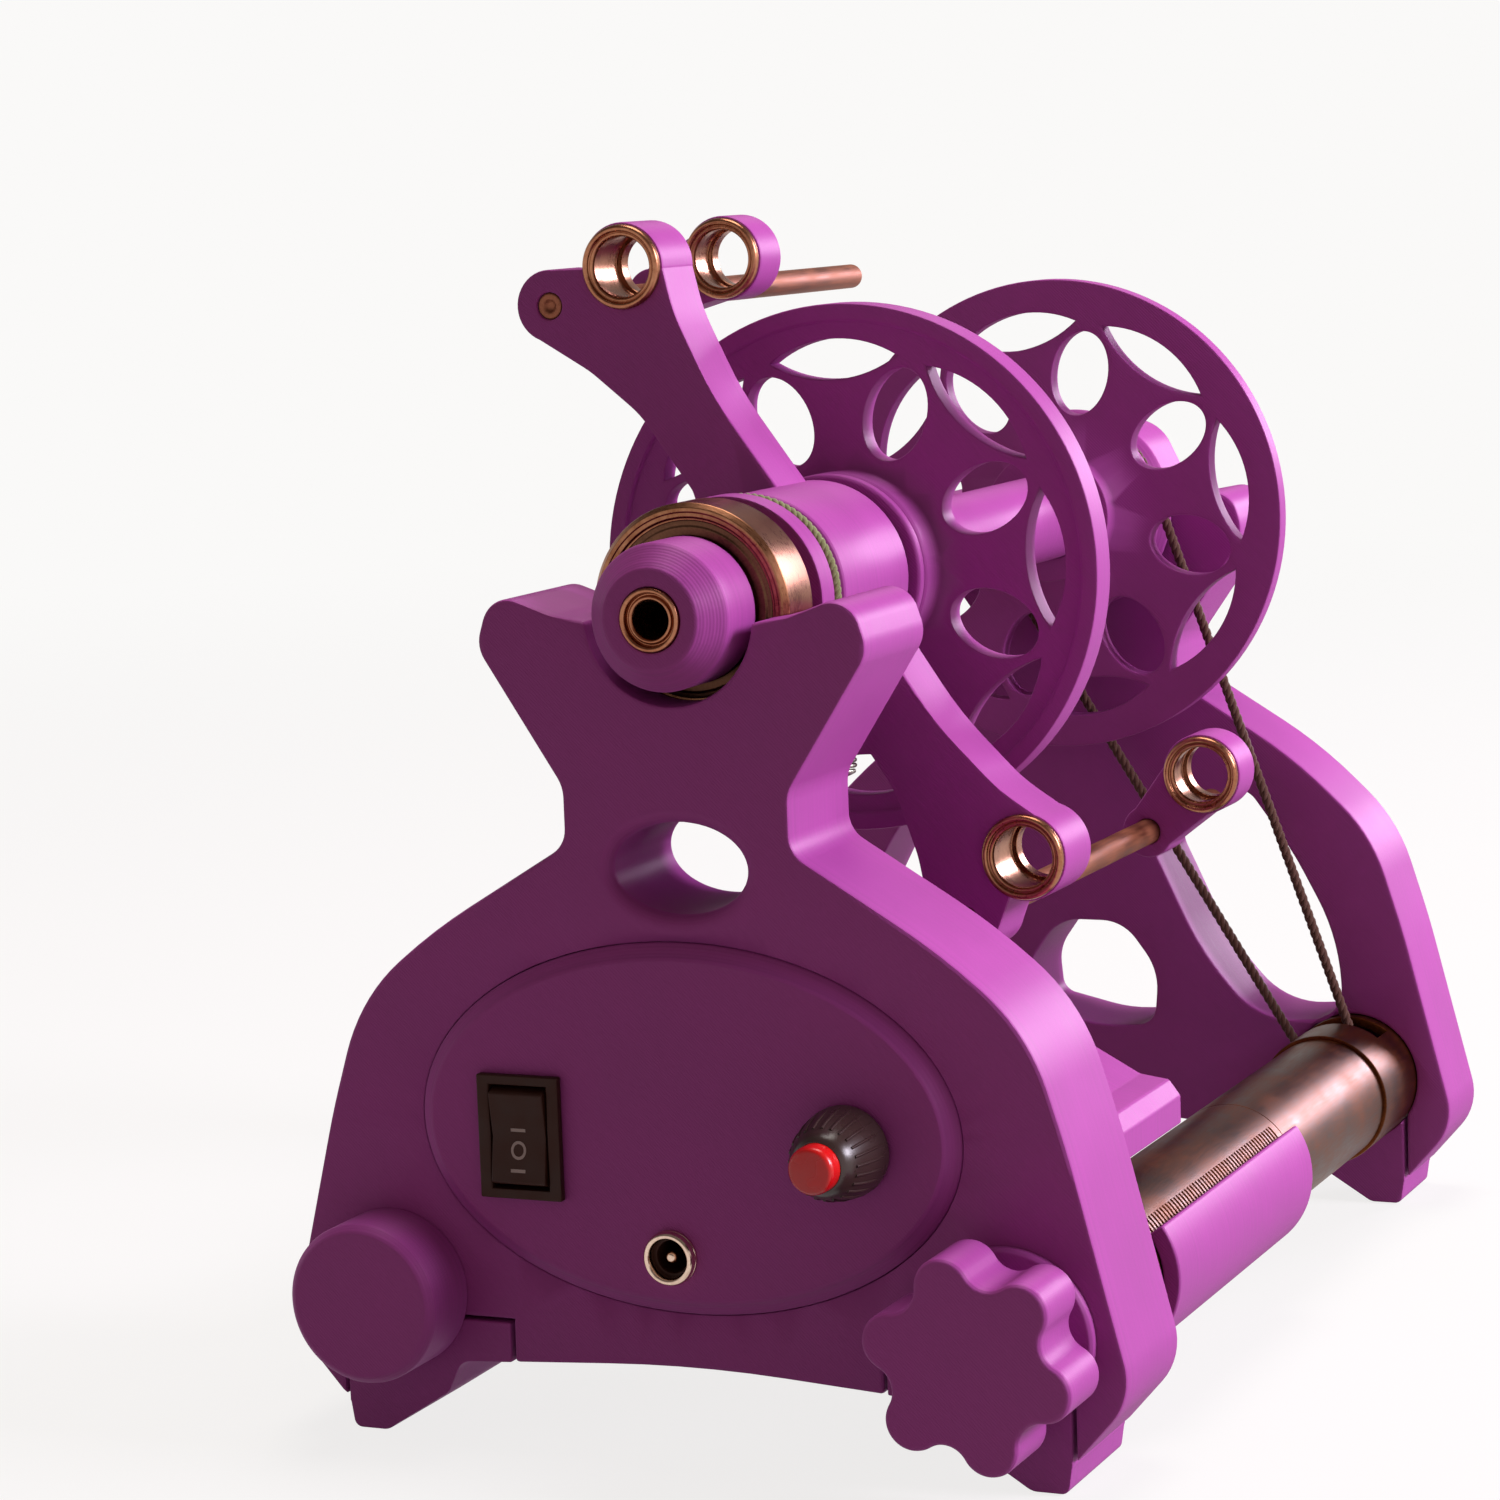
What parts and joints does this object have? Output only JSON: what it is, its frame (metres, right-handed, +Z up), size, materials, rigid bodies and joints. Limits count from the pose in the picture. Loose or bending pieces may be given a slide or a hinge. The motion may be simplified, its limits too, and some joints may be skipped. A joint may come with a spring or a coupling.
{
  "type": "electric yarn spinner",
  "caption": "Bobbin-driven electric spinner: flyer with sliding yarn guides round a large bobbin, on two printed end plates with a motor tube, brake knob and control panel.",
  "frame": {"origin": "on the surface it stands on, under the middle of its outer box", "axes": "+X to the right of the person spinning, +Y from the control panel to the rear plate, +Z up"},
  "size_m": [0.1504, 0.24, 0.2033],
  "materials": {
    "printed_purple": "satin",
    "dark_metal": "satin",
    "eyelet_metal": "polished",
    "bearing_steel": "satin",
    "screw_steel": "satin",
    "jack_metal": "polished",
    "black_plastic": "satin",
    "knob_black": "satin",
    "cap_red": "gloss",
    "brake_cord_green": "matte",
    "band_brown": "matte",
    "board": "satin",
    "bush_white": "satin"
  },
  "bodies": {
    "frame": {"front_plate": "printed_purple", "rear_plate": "printed_purple", "front_foot_left": "printed_purple", "front_foot_right": "printed_purple", "rear_foot_left": "printed_purple", "rear_foot_right": "printed_purple", "left_end_cap": "printed_purple", "tube_cover": "printed_purple", "electronics_cover": "printed_purple", "control_panel": "printed_purple", "knob_base": "printed_purple", "left_rail": "dark_metal", "motor_tube": "dark_metal", "motor_can": "dark_metal", "pulley_guard": "dark_metal", "front_bearing_outer": "bearing_steel", "rear_bearing_outer": "bearing_steel", "bearing_balls": "bearing_steel", "bearing_shields": "bearing_steel", "foot_screws": "screw_steel", "cover_screws": "screw_steel", "brake_spring": "screw_steel", "brake_anchor": "screw_steel", "pot_nut": "screw_steel", "jack_ring": "jack_metal", "jack_pin": "jack_metal", "switch_body": "black_plastic", "jack_barrel": "black_plastic", "potentiometer": "black_plastic", "motor_end_bell": "black_plastic", "brake_cord": "brake_cord_green", "brake_line": "brake_cord_green", "drive_band": "band_brown", "speed_board": "board"},
    "flyer": {"orifice_sleeve": "eyelet_metal", "nose_collar": "printed_purple", "flyer_hub": "printed_purple", "arm_eyelets": "eyelet_metal", "flyer_rods": "dark_metal", "flyer_shaft": "screw_steel", "front_bearing_inner": "bearing_steel", "rear_bearing_inner": "bearing_steel"},
    "upper_slide": {"upper_slider": "printed_purple", "upper_slider_eyelet": "eyelet_metal"},
    "lower_slide": {"lower_slider": "printed_purple", "lower_slider_eyelet": "eyelet_metal"},
    "bobbin": {"front_flange": "printed_purple", "rear_flange": "printed_purple", "bobbin_core": "printed_purple", "bobbin_whorl": "printed_purple", "bobbin_bushes": "bush_white"},
    "rotor": {"motor_shaft": "screw_steel", "motor_armature": "screw_steel", "motor_pulley": "eyelet_metal"},
    "tension_knob": {"star_knob": "printed_purple", "tension_spool": "printed_purple"},
    "speed_dial": {"speed_knob": "knob_black", "speed_knob_cap": "cap_red", "pot_shaft": "screw_steel"},
    "rocker_switch": {"rocker": "black_plastic"}
  },
  "joints": [
    {"name": "flyer_spin", "type": "hinge", "parent": "frame", "child": "flyer", "pos_m": [0, -0.07, 0.1407], "axis": [0, 1, 0], "continuous": true},
    {"name": "upper_slider_slide", "type": "slide", "parent": "flyer", "child": "upper_slide", "axis": [0, 1, 0], "range_m": [-0.026, 0.085]},
    {"name": "lower_slider_slide", "type": "slide", "parent": "flyer", "child": "lower_slide", "axis": [0, 1, 0], "range_m": [-0.081, 0.03]},
    {"name": "bobbin_spin", "type": "hinge", "parent": "frame", "child": "bobbin", "pos_m": [0, 0.03, 0.1407], "axis": [0, 1, 0], "continuous": true},
    {"name": "motor_spin", "type": "hinge", "parent": "frame", "child": "rotor", "pos_m": [0.0555, 0.05, 0.0255], "axis": [0, 1, 0], "continuous": true},
    {"name": "tension_knob_turn", "type": "hinge", "parent": "frame", "child": "tension_knob", "pos_m": [0.0555, -0.11, 0.0255], "axis": [0, 1, 0], "range_deg": [-360, 360]},
    {"name": "speed_knob_turn", "type": "hinge", "parent": "frame", "child": "speed_dial", "pos_m": [0.0295, -0.11, 0.0548], "axis": [0, 1, 0], "range_deg": [-150, 150]},
    {"name": "rocker_tilt", "type": "hinge", "parent": "frame", "child": "rocker_switch", "pos_m": [-0.029, -0.101, 0.0537], "axis": [1, 0, 0], "range_deg": [-10, 10]}
  ],
  "couplings": [
    {"joint": "bobbin_spin", "follows": "motor_spin", "ratio": 0.25}
  ]
}
